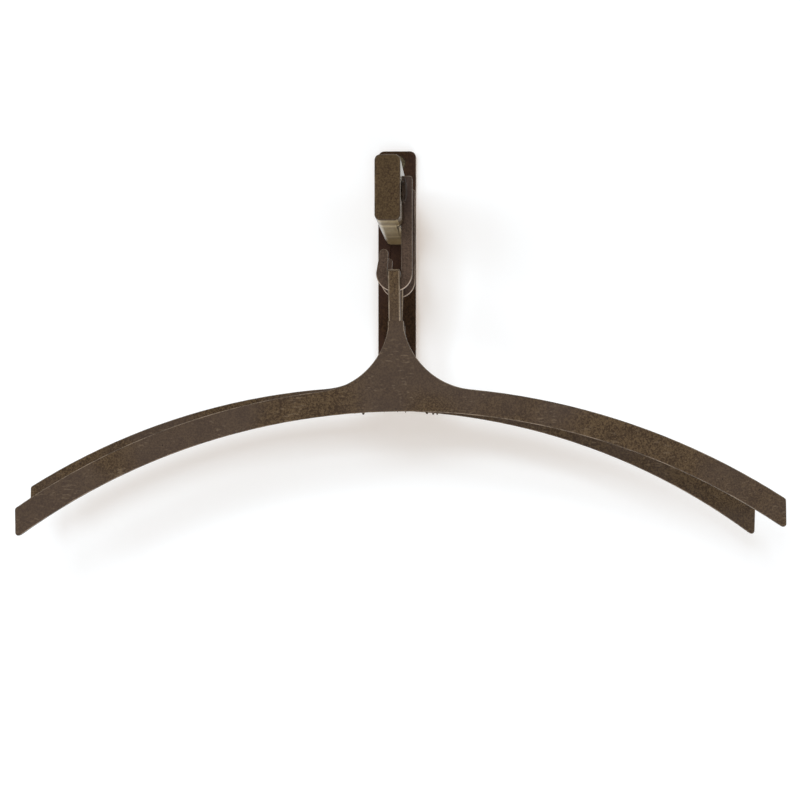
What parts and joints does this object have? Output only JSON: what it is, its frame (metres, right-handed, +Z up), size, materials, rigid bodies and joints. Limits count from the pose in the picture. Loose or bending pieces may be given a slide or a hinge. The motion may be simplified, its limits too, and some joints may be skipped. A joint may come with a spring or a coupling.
{
  "type": "wall coat rack",
  "caption": "Wall coat rack: steel wall plate with a deep flat arm standing out from it, J hooks on the arm's side, and arched steel coat hangers swinging on the hooks.",
  "frame": {"origin": "on the wall plate's back face, midway across it and level with the middle of the arm", "axes": "+Y into the wall, +Z up, +X to the right of someone who faces the rack"},
  "size_m": [0.4622, 0.165, 0.249],
  "materials": {
    "browned_steel": "browned and oiled steel plate, satin, faintly mottled",
    "dark_steel": "browned steel plate, darker, satin",
    "blacked_steel": "blacked steel fasteners, satin"
  },
  "bodies": {
    "rack": {"wall_plate": "dark_steel", "wall_screw_upper": "blacked_steel", "wall_screw_lower": "blacked_steel", "support_arm": "browned_steel", "arm_bolt_upper": "blacked_steel", "arm_bolt_lower": "blacked_steel", "hook_front": "browned_steel", "hook_rear": "browned_steel", "hook_screw_front": "blacked_steel", "hook_screw_rear": "blacked_steel"},
    "hanger_front": {"hanger_neck_front": "browned_steel", "hanger_blade_front": "browned_steel"},
    "hanger_rear": {"hanger_neck_rear": "browned_steel", "hanger_blade_rear": "browned_steel"}
  },
  "joints": [
    {"name": "hanger_front_swing", "type": "hinge", "parent": "rack", "child": "hanger_front", "pos_m": [0.00257, -0.127, -0.04715], "axis": [0, 1, 0], "range_deg": [-25, 25]},
    {"name": "hanger_rear_swing", "type": "hinge", "parent": "rack", "child": "hanger_rear", "pos_m": [0.00257, -0.059, -0.04715], "axis": [0, 1, 0], "range_deg": [-25, 25]}
  ]
}
